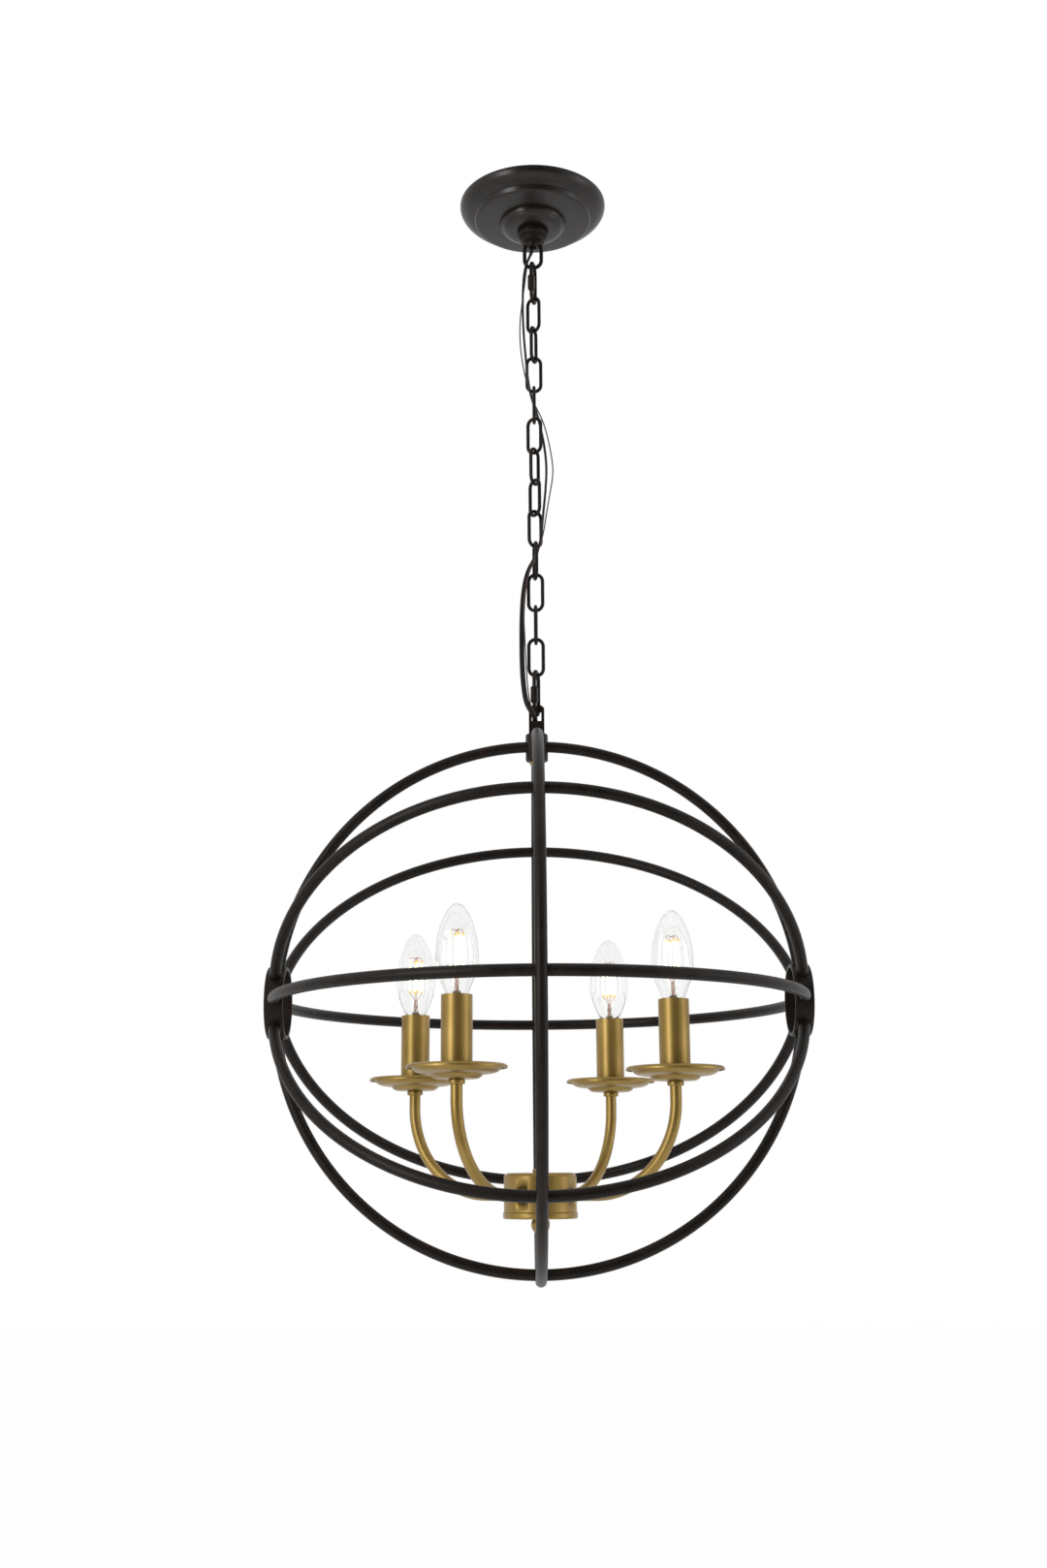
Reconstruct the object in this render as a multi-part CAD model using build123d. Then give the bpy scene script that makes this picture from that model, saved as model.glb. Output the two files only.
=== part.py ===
from build123d import *
import math
import os

# Chain-hung orb pendant: a ceiling canopy, a link chain with its cord, a cage of round-rod
# hoops and a four-candle cluster on a stem. Millimetres, +Z up, ceiling plane at z = 0.

# Clearances
fit_gap = 0.15          # radial room of a pushed-in or screwed piece in its hole
play = 0.3              # slack between hanging links, and round a bulb in its socket
edge_round = 0.8        # softened edge of cut tube

# Cage
orb_dia = 457.2         # over the hoops that meet at the hubs
rod_dia = 9.5
cross_rise = 4.7        # the cross hoop's centre line stands this far outside the others
back_lean = 44.5        # degrees from upright of the hoop whose top leans back
front_lean = 48.5       # degrees from upright of the hoop whose top leans forward
hub_dia = 61.0
hub_wall = 3.0
hub_length = 16.0
collar_dia = 19.6
collar_height = 24.0
collar_drop = 13.0      # its lower end below the upright hoop's centre line
collar_chamfer = 1.2
yoke_width = 13.6
yoke_depth = 9.0
yoke_base = 11.6        # height of its solid foot
yoke_window = 9.0       # height of its opening
yoke_bar = 5.2          # height of the bar that the lowest link holds
yoke_bar_round = 4.4    # rounded underside of the bar, inside the link's bend
yoke_leg = 2.6
yoke_chamfer = 2.4
yoke_hole_dia = 7.0     # wire passage down through the foot

# Chain and its connectors
link_wire = 3.2
link_width = 16.0       # over the wire
link_pitch = 30.55      # drop from one link to the next
link_turns = (-35, 70, 0, 90, -25, 58, -49, 33, 100, -10, 88, 0)   # degrees about the chain
connector_wire = 3.5
connector_width = 18.0
connector_span = 39.5   # between the centres of its end wires
connector_turn = 75     # degrees about the chain
sleeve_nut_dia = 6.4
sleeve_nut_length = 15.0

# Canopy and what hangs it
canopy_dia = 137.6
canopy_wall = 1.2
canopy_lip = 2.0
shoulder_dia = 112.0    # where the rounded shoulder ends in a groove
shoulder_depth = 12.2
ridge_dia = 107.0
ridge_depth = 16.6
step_dia = 62.6         # outer edge of the small raised step
step_depth = 18.0
disc_dia = 57.8
disc_depth = 22.7
canopy_depth = 27.4
ring_dia = 29.2         # screw ring that holds the canopy up
ring_height = 6.0
loop_body_dia = 23.0
loop_body_below = 11.0  # loop body showing under the canopy
loop_body_above = 7.0
neck_dia = 13.0
neck_length = 4.8
loop_wire = 3.6
loop_width = 19.3
loop_depth = 64.5       # centre of the loop's lowest wire, below the ceiling
loop_span = 27.0        # between the centres of the loop's end wires
loop_bore_dia = 6.4     # wire passage out of the neck
strap_length = 112.0
strap_width = 22.0
strap_thickness = 2.4
box_screw_spacing = 88.9
slot_length = 12.0
slot_width = 4.8
nipple_dia = 9.7
nipple_bore = 7.0
nipple_engagement = 9.0 # nipple screwed into the loop body
nut_flats = 14.0
nut_height = 4.0
ground_screw_dia = 3.8
ground_screw_head_dia = 8.0
ground_screw_head = 2.8
ground_screw_place = 20.0

# Stem and cluster
stem_dia = 7.0          # one tube from the collar down to the finial
stem_bore = 5.0
stem_engagement = 12.0  # stem screwed into the collar
stem_nut_dia = 12.6
stem_nut_height = 3.2
cup_drop = 142.0        # cup top below the orb's centre
cup_dia = 60.5
cup_wall = 1.5
cup_height = 31.5
cup_round = 3.0
cap_ledge = 0.75        # cap standing out past the cup
cap_height = 5.5
cap_lap = 4.0           # rim that stands up inside the cup
cap_wall = 1.5
finial_dia = 15.6
finial_seat = 4.8       # flat seat above the ball's centre
finial_thread = 7.0     # depth of its blind hole

# Candle arms
arm_count = 4
arm_first = -31.0       # degrees about the stem
arm_reach = 127.0       # stem to candle
arm_dia = 9.5
arm_wall = 1.1
arm_hole_room = 0.7     # radial room round the arm in the cup's side
arm_bend = 74.0
arm_below_cup_top = 18.0
arm_inside = 22.0       # inner end of the arm, from the stem's axis
arm_nut_flats = 13.0
arm_nut_height = 3.0
pan_drop = 68.3         # underside of the drip pan below the orb's centre
pan_dia = 80.0
pan_sheet = 1.0
pan_bowl_dia = 44.6
pan_bowl_depth = 3.2
pan_step_dia = 67.0
pan_step_depth = 3.6
pan_height = 9.4
pan_lip = 2.4           # turned-down edge
check_ring_dia = 13.6
check_ring_height = 4.0
sleeve_dia = 25.0
sleeve_wall = 0.8
sleeve_length = 62.0
socket_dia = 20.5
socket_stem_dia = 14.0
socket_stem_length = 18.0
socket_thread = 6.0     # arm screwed up into the socket
bulb_dia = 35.0
bulb_neck_dia = 15.0
bulb_belly = 27.5       # widest point above the sleeve
bulb_above_sleeve = 73.4
bulb_glass = 0.9
bulb_base_dia = 11.8
bulb_base_length = 21.0
bulb_base_below = 5.0   # glass starts this far below the sleeve's top
bulb_shell = 0.7
filament_dia = 1.6
filament_length = 29.0
filament_circle = 10.4
filament_bottom = 20.0  # above the sleeve's top
mount_stem_dia = 5.0
lead_dia = 0.8

# Cords, point by point from the neck of the loop down to the yoke
cord_dia = 3.2
cord_route = (
    (0.9, -0.2, -39), (0.7, -1.0, -46), (-2.6, -4.3, -54), (-6.2, -5.9, -63.5), (-8.8, -5.2, -75),
    (-9.8, -4.2, -92), (-10.0, -3.6, -113), (-9.3, -3.9, -135), (-7.6, -4.7, -158), (-5.9, -5.0, -180),
    (-3.2, -2.9, -196.5), (1.3, 0.6, -209), (5.4, 2.9, -224), (9.2, 1.9, -245), (11.2, 0.3, -267),
    (9.8, -0.4, -291), (7.4, -0.9, -314), (5.4, -2.7, -337), (2.1, -1.5, -350), (-2.4, -0.1, -359),
    (-6.6, -2.0, -368), (-9.6, -3.2, -381), (-12.8, -2.6, -399), (-14.6, -1.9, -421), (-14.7, -1.8, -444),
    (-13.4, -2.8, -467), (-11.0, -5.2, -484), (-8.8, -7.4, -494), (-5.8, -8.4, -500.5), (-2.9, -7.0, -504.0),
    (-1.4, -3.6, -506.2), (-1.2, -0.7, -508.9), (-1.2, -0.3, -512.6),
)
ground_dia = 1.2
ground_route = (
    (-1.75, 0.0, -39), (-2.1, 0.1, -46), (-3.8, -1.5, -54), (-5.4, -3.0, -63), (-6.9, -2.3, -73),
    (-8.4, -0.6, -86), (-11.0, 0.2, -104), (-13.0, 0.6, -124), (-12.5, 1.2, -146), (-9.9, 2.6, -166),
    (-6.4, 3.6, -182), (-2.4, 3.4, -196), (2.6, 3.8, -207), (8.2, 4.2, -219), (12.6, 3.0, -237),
    (16.0, 1.4, -257), (17.2, 0.8, -273), (13.8, 0.0, -293), (10.2, -1.8, -315), (7.4, -4.8, -334),
    (3.9, -4.7, -346.4), (-0.6, -2.9, -357), (-4.4, -4.9, -367), (-7.8, -6.2, -379), (-10.0, -5.8, -393),
    (-10.8, -4.8, -413), (-9.8, -3.8, -435), (-9.0, -3.8, -456), (-8.2, -5.4, -472), (-7.0, -7.6, -486),
    (-5.4, -9.8, -495.6), (-1.6, -9.4, -501.8), (1.4, -5.4, -505.6), (2.1, -1.2, -508.6), (2.1, -0.3, -512.6),
)

# Places worked out from the sizes above
hoop_r = (orb_dia - rod_dia) / 2
cross_r = hoop_r + cross_rise
link_span = link_pitch + link_wire + play
drop_to_connector = (loop_wire + connector_wire) / 2 + play
drop_to_link = (connector_wire + link_wire) / 2 + play
top_connector_z = -loop_depth + drop_to_connector
first_link_z = top_connector_z - connector_span + drop_to_link
last_wire_z = first_link_z - link_span - (len(link_turns) - 1) * link_pitch
low_connector_z = last_wire_z + drop_to_link
low_wire_z = low_connector_z - connector_span
yoke_bar_z = low_wire_z + connector_wire / 2 + play
window_floor_z = yoke_bar_z - yoke_window
collar_top_z = window_floor_z - yoke_base
collar_bottom_z = collar_top_z - collar_height
orb_z = collar_bottom_z + collar_drop - hoop_r
cup_top_z = orb_z - cup_drop
cap_top_z = cup_top_z - cup_height
cap_bottom_z = cap_top_z - cap_height
arm_z = cup_top_z - arm_below_cup_top
pan_z = orb_z - pan_drop
pan_floor_z = pan_z + pan_sheet
sleeve_top_z = pan_floor_z + sleeve_length
glass_z = sleeve_top_z - bulb_base_below
base_bottom_z = glass_z - bulb_base_length
arm_top_z = pan_floor_z + socket_thread
strap_bottom_z = -strap_thickness
loop_body_top_z = -canopy_depth + loop_body_above
loop_body_bottom_z = -canopy_depth - loop_body_below
neck_bottom_z = loop_body_bottom_z - neck_length
nipple_bottom_z = loop_body_top_z - nipple_engagement
orb_centre = Pos(0, 0, orb_z)


def turned(*outline):
    """Turn a closed outline, drawn as (radius, height), round the Z axis."""
    return revolve(Plane.XZ * make_face(Curve() + list(outline)), axis=Axis.Z)


def ring(outer_dia, inner_dia, bottom, top):
    """A plain round ring or tube, upright."""
    size = top - bottom
    tube = Cylinder(outer_dia / 2, size) - Cylinder(inner_dia / 2, size)
    return Pos(0, 0, (bottom + top) / 2) * tube


def outer_rims(tube):
    """The two outer edges of a tube."""
    return tube.edges().filter_by(GeomType.CIRCLE).sort_by(SortBy.RADIUS)[-2:]


def disc(dia, bottom, top):
    """A plain upright cylinder."""
    return Pos(0, 0, (bottom + top) / 2) * Cylinder(dia / 2, top - bottom)


def hex_nut(flats, bore, bottom, top):
    """A hexagon nut, upright."""
    body = extrude(RegularPolygon(flats / 2, 6, major_radius=False) - Circle(bore / 2), top - bottom)
    return Pos(0, 0, bottom) * body


def wire_oval(wire, half_width, top, bottom, turn):
    """A bent-wire oval whose end wires have their centres at heights top and bottom."""
    side = half_width - wire / 2
    straight = (top - bottom) / 2 - side
    outline = Line((side, -straight), (side, straight))
    outline += RadiusArc((side, straight), (-side, straight), -side)
    outline += Line((-side, straight), (-side, -straight))
    outline += RadiusArc((-side, -straight), (side, -straight), -side)
    path = Plane.XZ * outline
    oval = sweep(Plane(path @ 0, z_dir=path % 0) * Circle(wire / 2), path=path)
    return Pos(0, 0, (top + bottom) / 2) * Rot(0, 0, turn) * oval


def corner_radii(route):
    """The largest arc that the two runs at each corner of a cord's route leave room for."""
    radii = []
    for before, here, after in zip(route, route[1:], route[2:]):
        run_in = Vector(*here) - Vector(*before)
        run_out = Vector(*after) - Vector(*here)
        half_turn = math.radians(run_in.get_angle(run_out)) / 2
        radii.append(0.45 * min(run_in.length, run_out.length) / math.tan(half_turn))
    return radii


def cord(name, route, dia):
    """A round cord along its route, with its radii and lengths printed."""
    radii = corner_radii(route)
    path = FilletPolyline(*route, radius=radii)
    tube = sweep(Plane(path @ 0, z_dir=path % 0) * Circle(dia / 2), path=path)
    whole = math.pi * dia**2 / 4 * path.length
    print(name, "length", round(path.length, 1), "volume ratio", round(tube.volume / whole, 4))
    print(name, "radii", [round(radius, 1) for radius in radii])
    return tube


def half_hoop(lean):
    """Half a hoop from hub to hub, coped to the hubs and notched under the cross hoop."""
    rod_end = Plane.XZ * Pos(hoop_r, 0) * Circle(rod_dia / 2)
    hoop = Rot(lean, 0, 0) * revolve(rod_end, Axis.Z, 180)
    hoop -= Rot(0, 90, 0) * Cylinder(hub_dia / 2, orb_dia + hub_length)
    return orb_centre * (hoop - cross_ring)


def bulb_outline(inset):
    """Edges of a candle bulb's wall, from its neck up to its tip, moved in by a wall."""
    neck = (bulb_neck_dia / 2 - inset, glass_z)
    belly_z = sleeve_top_z + bulb_belly
    belly_r = bulb_dia / 2 - inset
    crown = bulb_above_sleeve - bulb_belly - inset
    lower = Spline(neck, (belly_r, belly_z), tangents=[(0.18, 1), (0, 1)])
    cheek = (belly_r * math.cos(math.pi / 4), belly_z + crown * math.sin(math.pi / 4))
    tip = (0, belly_z + crown)
    upper = Spline((belly_r, belly_z), cheek, tip, tangents=[(0, 1), (-1, 0)])
    return neck, tip, [lower, upper]


parts = {}

# Canopy: spun sheet with a rolled lip, a rounded shoulder, a ridge, a small raised disc and a flat seat
rim_r = canopy_dia / 2
hole_r = loop_body_dia / 2 + fit_gap


def canopy_outline(inset):
    """Outside of the canopy, or its inside when moved in by the wall."""
    rim = (rim_r - inset, -canopy_lip)
    groove = (shoulder_dia / 2 - inset, -shoulder_depth + inset)
    ridge = (ridge_dia / 2 - inset, -ridge_depth + inset)
    step = (step_dia / 2 - inset, -step_depth + inset)
    edge = (disc_dia / 2 - inset, -disc_depth + inset)
    seat = (ring_dia / 2, -canopy_depth + inset)
    return [
        Line((rim_r - inset, 0), rim),
        Spline(rim, groove, tangents=[(-0.15, -1), (-1, -0.12)]),
        Spline(groove, ridge, tangents=[(-0.5, -1), (-1, -0.25)]),
        Line(ridge, step),
        Spline(step, edge, tangents=[(-0.05, -1), (-1, -0.1)]),
        Spline(edge, seat, tangents=[(-0.5, -1), (-1, 0)]),
        Line(seat, (hole_r, -canopy_depth + inset)),
    ]


canopy_rim = Line((rim_r - canopy_wall, 0), (rim_r, 0))
canopy_hole = Line((hole_r, -canopy_depth), (hole_r, -canopy_depth + canopy_wall))
parts["canopy"] = turned(canopy_rim, canopy_hole, *canopy_outline(0), *canopy_outline(canopy_wall))

# Mounting strap, flush with the ceiling: two screw slots, a threaded centre hole and the ground screw
strap = extrude(
    Rectangle(strap_length, strap_width)
    - GridLocations(box_screw_spacing, 0, 2, 1) * SlotOverall(slot_length, slot_width)
    - Circle(nipple_dia / 2 + fit_gap)
    - Pos(ground_screw_place, 0) * Circle(ground_screw_dia / 2 + fit_gap),
    strap_thickness,
)
parts["mounting_strap"] = Pos(0, 0, strap_bottom_z) * strap
ground_screw = disc(ground_screw_head_dia, strap_bottom_z - ground_screw_head, strap_bottom_z)
ground_screw += disc(ground_screw_dia, strap_bottom_z, 0)
parts["ground_screw"] = Pos(ground_screw_place, 0, 0) * ground_screw

# Threaded nipple from the strap down into the loop, with a lock nut at each
parts["hanger_nipple"] = ring(nipple_dia, nipple_bore, nipple_bottom_z, 0)
nut_bore = nipple_dia + 2 * fit_gap
strap_nut = hex_nut(nut_flats, nut_bore, strap_bottom_z - nut_height, strap_bottom_z)
loop_nut = hex_nut(nut_flats, nut_bore, loop_body_top_z, loop_body_top_z + nut_height)
parts["nipple_nuts"] = Compound(children=[strap_nut, loop_nut])

# Screw ring under the canopy, and the loop that it screws on
ring_bottom_z = -canopy_depth - ring_height
screw_ring = ring(ring_dia, loop_body_dia + 2 * fit_gap, ring_bottom_z, -canopy_depth)
parts["screw_ring"] = chamfer(screw_ring.edges().group_by(Axis.Z)[0].sort_by(SortBy.RADIUS)[-1], 2 * edge_round)
loop_body = disc(loop_body_dia, loop_body_bottom_z, loop_body_top_z)
loop_body = fillet(loop_body.edges().group_by(Axis.Z)[0], 2 * edge_round)
neck = disc(neck_dia, neck_bottom_z, loop_body_bottom_z)
neck = fillet(neck.edges().group_by(Axis.Z)[0], 2 * edge_round)
loop = loop_body + neck
loop += wire_oval(loop_wire, loop_width / 2, loop_span - loop_depth, -loop_depth, 0)
loop -= disc(nipple_dia + 2 * fit_gap, nipple_bottom_z, loop_body_top_z)
loop -= disc(loop_bore_dia, neck_bottom_z, nipple_bottom_z)
parts["canopy_loop"] = loop

# Chain: a screw connector, the run of links and a second connector
nut_drop = connector_span / 2 - connector_width / 2 - sleeve_nut_length / 2
nut_reach = (connector_width - connector_wire) / 2
for place, top_z in (("top", top_connector_z), ("bottom", low_connector_z)):
    oval = wire_oval(connector_wire, connector_width / 2, top_z, top_z - connector_span, connector_turn)
    parts[f"connector_link_{place}"] = oval
    nut_z = top_z - connector_span / 2 - nut_drop
    sleeve_nut = ring(
        sleeve_nut_dia,
        connector_wire + 2 * fit_gap,
        nut_z - sleeve_nut_length / 2,
        nut_z + sleeve_nut_length / 2,
    )
    parts[f"connector_nut_{place}"] = Rot(0, 0, connector_turn) * Pos(-nut_reach, 0, 0) * sleeve_nut

links = []
for number, turn in enumerate(link_turns):
    link_z = first_link_z - number * link_pitch
    links.append(wire_oval(link_wire, link_width / 2, link_z, link_z - link_span, turn))
parts["chain_links"] = Compound(children=links)
parts["supply_cord"] = cord("supply_cord", cord_route, cord_dia)
parts["ground_wire"] = cord("ground_wire", ground_route, ground_dia)

# Yoke on the collar: a block with a window for the lowest link and a passage for the wires
yoke_height = yoke_base + yoke_window + yoke_bar
yoke_face = Rectangle(yoke_width, yoke_height)
yoke_face = chamfer(yoke_face.vertices().group_by(Axis.Y)[-1], yoke_chamfer)
window_place = (yoke_base - yoke_bar) / 2
yoke_face -= Pos(0, window_place) * Rectangle(yoke_width - 2 * yoke_leg, yoke_window)
yoke = extrude(Plane.XZ * yoke_face, yoke_depth / 2, both=True)
yoke = Pos(0, 0, collar_top_z + yoke_height / 2) * yoke
bar_edges = yoke.edges().filter_by(Axis.X).filter_by_position(Axis.Z, yoke_bar_z - play, yoke_bar_z + play)
yoke = fillet(bar_edges, yoke_bar_round)
parts["yoke"] = yoke - disc(yoke_hole_dia, collar_top_z, window_floor_z)

# Collar that the upright and cross hoops run into, bored for the stem and the wires
collar = disc(collar_dia, collar_bottom_z, collar_top_z)
collar = chamfer(collar.edges().filter_by(GeomType.CIRCLE), collar_chamfer)
stem_hole = stem_dia + 2 * fit_gap
stem_top_z = collar_bottom_z + stem_engagement
collar -= disc(stem_hole, collar_bottom_z, stem_top_z)
collar -= disc(yoke_hole_dia, stem_top_z, collar_top_z)
parts["top_collar"] = collar

# Hubs: short open tubes at the two sides, where the hoop ends land at mid length
hub_middle = math.sqrt(hoop_r**2 - (hub_dia / 2) ** 2)
hub = Cylinder(hub_dia / 2, hub_length) - Cylinder(hub_dia / 2 - hub_wall, hub_length)
hub = fillet(hub.edges().filter_by(GeomType.CIRCLE), edge_round)
for side, place in (("left", -hub_middle), ("right", hub_middle)):
    parts[f"hub_{side}"] = orb_centre * Pos(place, 0, 0) * Rot(0, 90, 0) * hub

# Hoops of round rod: the cross hoop goes over the others and ends at the collar
cross_ring = Rot(0, 90, 0) * Torus(cross_r, rod_dia / 2)
collar_blank = disc(collar_dia, collar_bottom_z, orb_z + orb_dia)
parts["cross_hoop"] = orb_centre * cross_ring - collar_blank
parts["upright_hoop_top"] = half_hoop(90) - collar_blank
parts["upright_hoop_bottom"] = half_hoop(-90)
parts["back_lean_hoop_top"] = half_hoop(90 - back_lean)
parts["back_lean_hoop_bottom"] = half_hoop(-90 - back_lean)
parts["front_lean_hoop_top"] = half_hoop(90 + front_lean)
parts["front_lean_hoop_bottom"] = half_hoop(-90 + front_lean)
parts["equator_hoop_back"] = half_hoop(0)
parts["equator_hoop_front"] = half_hoop(180)

# Stem from the collar to the finial, with a round nut under the collar and one on the cup
finial_top_z = cap_bottom_z
stem_bottom_z = finial_top_z - finial_thread
parts["stem"] = ring(stem_dia, stem_bore, stem_bottom_z, stem_top_z)
for place, nut_z in (("top", collar_bottom_z - stem_nut_height), ("bottom", cup_top_z)):
    stem_nut = ring(stem_nut_dia, stem_hole, nut_z, nut_z + stem_nut_height)
    parts[f"stem_nut_{place}"] = fillet(outer_rims(stem_nut), edge_round)

# Cup, its cap and the ball finial that clamps them
cup = disc(cup_dia, cap_top_z, cup_top_z)
cup = fillet(cup.edges().group_by(Axis.Z)[-1], cup_round)
cup_bore = disc(cup_dia - 2 * cup_wall, cap_top_z, cup_top_z - cup_wall)
cup_bore = fillet(cup_bore.edges().group_by(Axis.Z)[-1], cup_round - cup_wall)
cup -= cup_bore + disc(stem_hole, cap_top_z, cup_top_z)
arm_angles = [arm_first - 360 / arm_count * number for number in range(arm_count)]
for angle in arm_angles:
    arm_hole = Rot(0, 90, 0) * Cylinder(arm_dia / 2 + arm_hole_room, cup_dia)
    cup -= Rot(0, 0, angle) * Pos(cup_dia / 2, 0, arm_z) * arm_hole
parts["cluster_cup"] = cup
lap_dia = cup_dia - 2 * cup_wall - 2 * fit_gap
cap = disc(cup_dia + 2 * cap_ledge, cap_bottom_z, cap_top_z)
cap = fillet(cap.edges().filter_by(GeomType.CIRCLE), edge_round)
cap += disc(lap_dia, cap_top_z, cap_top_z + cap_lap)
cap -= disc(lap_dia - 2 * cap_wall, cap_bottom_z + cap_wall, cap_top_z + cap_lap)
parts["cup_cap"] = cap - disc(stem_hole, cap_bottom_z, cap_top_z)
ball_z = finial_top_z - finial_seat
finial = Pos(0, 0, ball_z) * Sphere(finial_dia / 2)
finial -= disc(finial_dia, finial_top_z, finial_top_z + finial_dia)
parts["finial"] = finial - disc(stem_hole, stem_bottom_z, finial_top_z)

# Candle arms: each a bent tube with its nut, ring, pan, sleeve, socket and bulb
bend_start = arm_reach - arm_bend
arm_path = Line((arm_inside, 0, arm_z), (bend_start, 0, arm_z))
arm_path += Plane.XZ * JernArc((bend_start, arm_z), (1, 0), arm_bend, 90)
arm_path += Line((arm_reach, 0, arm_z + arm_bend), (arm_reach, 0, arm_top_z))
arm_section = Circle(arm_dia / 2) - Circle(arm_dia / 2 - arm_wall)
arm = sweep(Plane(arm_path @ 0, z_dir=arm_path % 0) * arm_section, path=arm_path)
arm_bore = arm_dia + 2 * fit_gap
nut_outer = cup_dia / 2 - cup_wall - cup_round
arm_nut = Pos(nut_outer, 0, arm_z) * Rot(0, -90, 0) * hex_nut(arm_nut_flats, arm_bore, 0, arm_nut_height)
check_ring = ring(check_ring_dia, arm_bore, pan_z - check_ring_height, pan_z)
check_ring = fillet(outer_rims(check_ring), edge_round)

# Drip pan: spun sheet in two bowls with a turned-down lip
def pan_outline(lift):
    """Underside of the pan, or its upper side when lifted by the sheet."""
    bowl_floor = (pan_bowl_dia / 2 - 2 * pan_bowl_depth, pan_z + lift)
    bowl_rim = (pan_bowl_dia / 2, pan_z + pan_bowl_depth + lift)
    step_rim = (pan_step_dia / 2, bowl_rim[1] + pan_step_depth)
    brim = (pan_step_dia / 2 + 2 * pan_sheet, pan_z + pan_height - pan_sheet + lift)
    edge = (pan_dia / 2 - pan_sheet + lift, brim[1] - pan_sheet)
    lip = (pan_dia / 2 - pan_sheet + lift, pan_z + pan_height - pan_lip)
    return lip, [
        Line((arm_bore / 2, pan_z + lift), bowl_floor),
        Spline(bowl_floor, bowl_rim, tangents=[(1, 0), (0.7, 1)]),
        Spline(bowl_rim, step_rim, tangents=[(1, 0.1), (0.7, 1)]),
        Line(step_rim, brim),
        Spline(brim, edge, tangents=[(1, 0.2), (0, -1)]),
        Line(edge, lip),
    ]


lip_under, pan_under = pan_outline(0)
lip_over, pan_over = pan_outline(pan_sheet)
pan_hole = Line((arm_bore / 2, pan_z), (arm_bore / 2, pan_floor_z))
drip_pan = turned(pan_hole, Line(lip_under, lip_over), *pan_under, *pan_over)

candle_sleeve = ring(sleeve_dia, sleeve_dia - 2 * sleeve_wall, pan_floor_z, sleeve_top_z)
socket_top_z = glass_z - bulb_shell - play
socket = disc(socket_stem_dia, pan_floor_z, pan_floor_z + socket_stem_length)
socket += disc(socket_dia, pan_floor_z + socket_stem_length, socket_top_z)
socket -= disc(arm_bore, pan_floor_z, arm_top_z)
socket -= disc(bulb_base_dia + 2 * play, base_bottom_z - play, socket_top_z)

neck_out, tip_out, wall_out = bulb_outline(0)
neck_in, tip_in, wall_in = bulb_outline(bulb_glass)
glass = turned(Line(neck_in, neck_out), *wall_out, Line(tip_out, tip_in), *wall_in)
base = disc(bulb_base_dia, base_bottom_z, glass_z)
base -= disc(bulb_base_dia - 2 * bulb_shell, base_bottom_z + bulb_shell, glass_z)
rim_dia = bulb_neck_dia
base += ring(rim_dia, bulb_base_dia - 2 * bulb_shell, glass_z - bulb_shell, glass_z)

filament_top_z = sleeve_top_z + filament_bottom + filament_length
filament_low_z = sleeve_top_z + filament_bottom
filament = disc(mount_stem_dia, base_bottom_z + bulb_shell, filament_low_z - filament_dia)
filament += disc(lead_dia, filament_low_z - filament_dia, filament_top_z)
for angle in range(0, 360, 90):
    rod = Pos(filament_circle / 2, 0, 0) * disc(filament_dia, filament_low_z, filament_top_z)
    spoke = Pos(filament_circle / 4, 0, 0) * Rot(0, 90, 0) * Cylinder(lead_dia / 2, filament_circle / 2)
    low_spoke = Pos(0, 0, filament_low_z - filament_dia) * spoke
    low_lead = Pos(filament_circle / 2, 0, 0) * disc(lead_dia, filament_low_z - filament_dia, filament_low_z)
    top_spoke = Pos(0, 0, filament_top_z - lead_dia / 2) * spoke
    filament += Rot(0, 0, angle) * (rod + low_spoke + low_lead + top_spoke)

arm_nuts, check_rings, sockets = [], [], []
for number, angle in enumerate(arm_angles, start=1):
    turn = Rot(0, 0, angle)
    candle = turn * Pos(arm_reach, 0, 0)
    parts[f"arm_{number}"] = turn * arm
    arm_nuts.append(turn * arm_nut)
    check_rings.append(candle * check_ring)
    parts[f"drip_pan_{number}"] = candle * drip_pan
    parts[f"candle_sleeve_{number}"] = candle * candle_sleeve
    sockets.append(candle * socket)
    parts[f"bulb_glass_{number}"] = candle * glass
    parts[f"bulb_base_{number}"] = candle * base
    parts[f"bulb_filament_{number}"] = candle * filament
parts["arm_nuts"] = Compound(children=arm_nuts)
parts["check_rings"] = Compound(children=check_rings)
parts["sockets"] = Compound(children=sockets)

os.makedirs("parts", exist_ok=True)
for name, solid in parts.items():
    export_step(solid, f"parts/{name}.step")
print("nodes", len(parts), "orb centre", round(orb_z, 2), "sleeve top", round(sleeve_top_z - orb_z, 2))
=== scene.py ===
import math

import bmesh
import bpy
from mathutils import Matrix, Vector


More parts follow.
